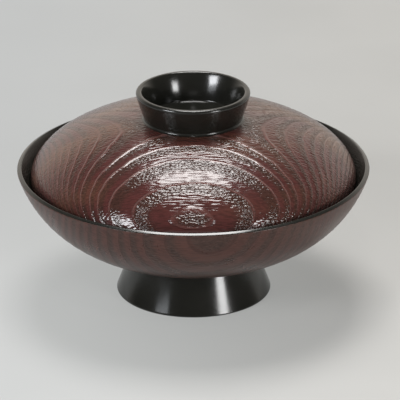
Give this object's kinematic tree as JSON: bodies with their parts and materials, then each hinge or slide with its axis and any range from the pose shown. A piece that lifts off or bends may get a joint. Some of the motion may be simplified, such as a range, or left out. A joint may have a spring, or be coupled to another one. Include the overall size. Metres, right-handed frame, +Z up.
{
  "type": "covered soup bowl",
  "caption": "Wide round lacquered wood soup bowl on a flared black foot, with a domed wood-grain lid that sits inside the rim and carries a black ring knob.",
  "frame": {"origin": "centre of the foot ring's resting face, on the table", "axes": "+Z up along the turning axis; the bowl is round about it; X and Y lie in the table plane"},
  "size_m": [0.136, 0.136, 0.0821],
  "materials": {
    "brown_wood_lacquer": "turned hardwood with open grain in low relief, satin brown wiped lacquer",
    "red_wood_lacquer": "turned hardwood with open grain in low relief, glossy red-brown wiped lacquer",
    "black_lacquered_wood": "turned wood under polished black lacquer",
    "black_lacquer": "polished black lacquer coat"
  },
  "bodies": {
    "bowl": {"bowl_core": "brown_wood_lacquer", "bowl_lining": "black_lacquer", "foot_ring": "black_lacquered_wood", "foot_recess_coat": "black_lacquer"},
    "lid": {"lid_core": "red_wood_lacquer", "lid_lining": "black_lacquer", "knob_ring": "black_lacquered_wood", "knob_floor_coat": "black_lacquer"}
  },
  "joints": [
    {"name": "lid_lift", "type": "slide", "parent": "bowl", "child": "lid", "axis": [0, 0, 1], "range_m": [0, 0.06]}
  ]
}
